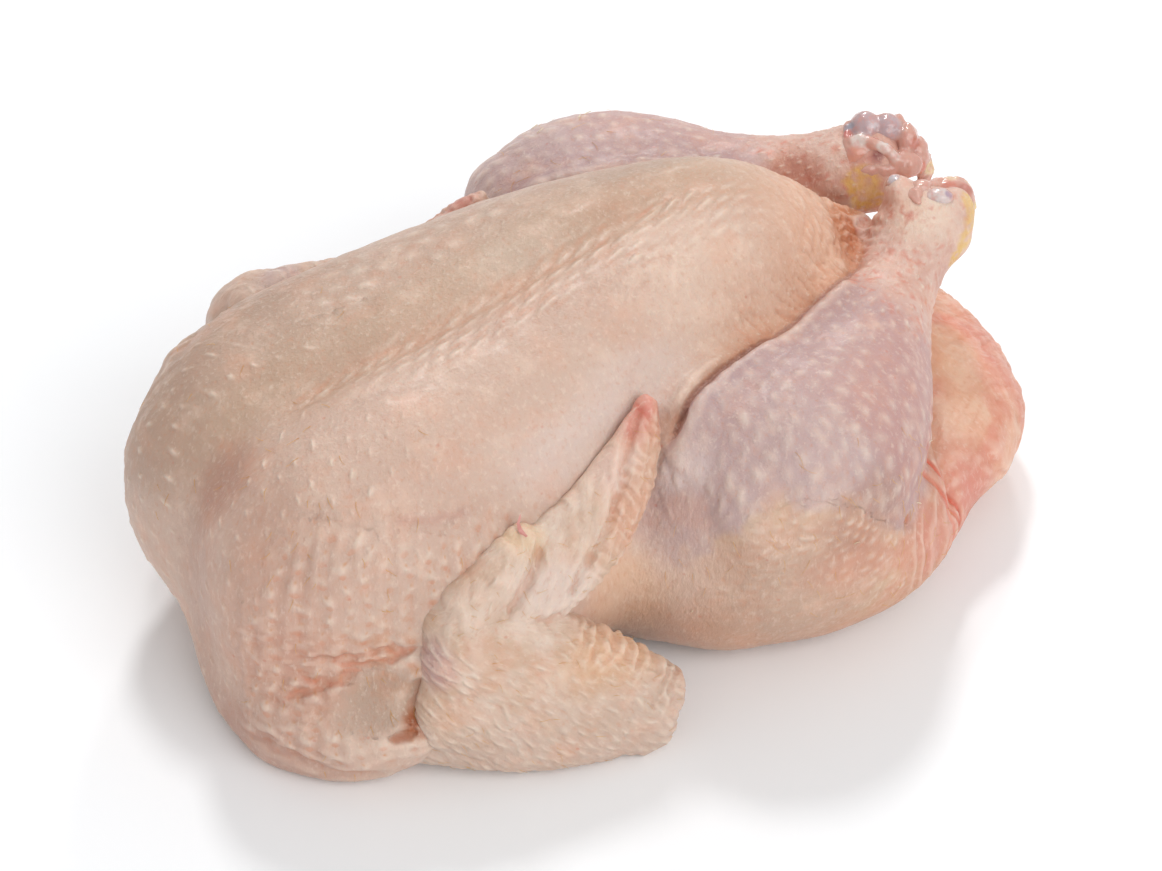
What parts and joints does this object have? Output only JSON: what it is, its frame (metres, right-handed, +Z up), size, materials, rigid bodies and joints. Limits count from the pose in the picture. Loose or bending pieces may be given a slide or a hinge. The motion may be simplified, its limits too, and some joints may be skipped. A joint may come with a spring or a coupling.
{
  "type": "whole raw chicken",
  "caption": "Whole raw chicken, plucked and dressed, lying on its back with folded wings and legs drawn back, for food scenes.",
  "frame": {"origin": "centre of the bounding box's bottom, on the surface that the bird rests on", "axes": "+X from the neck end towards the tail and hocks, -Y the bird's right side, +Z up through the breast"},
  "size_m": [0.2435, 0.1768, 0.104],
  "materials": {
    "skin": "moist raw poultry skin, soft sheen"
  },
  "bodies": {
    "root": {"chicken": "skin"}
  },
  "joints": []
}
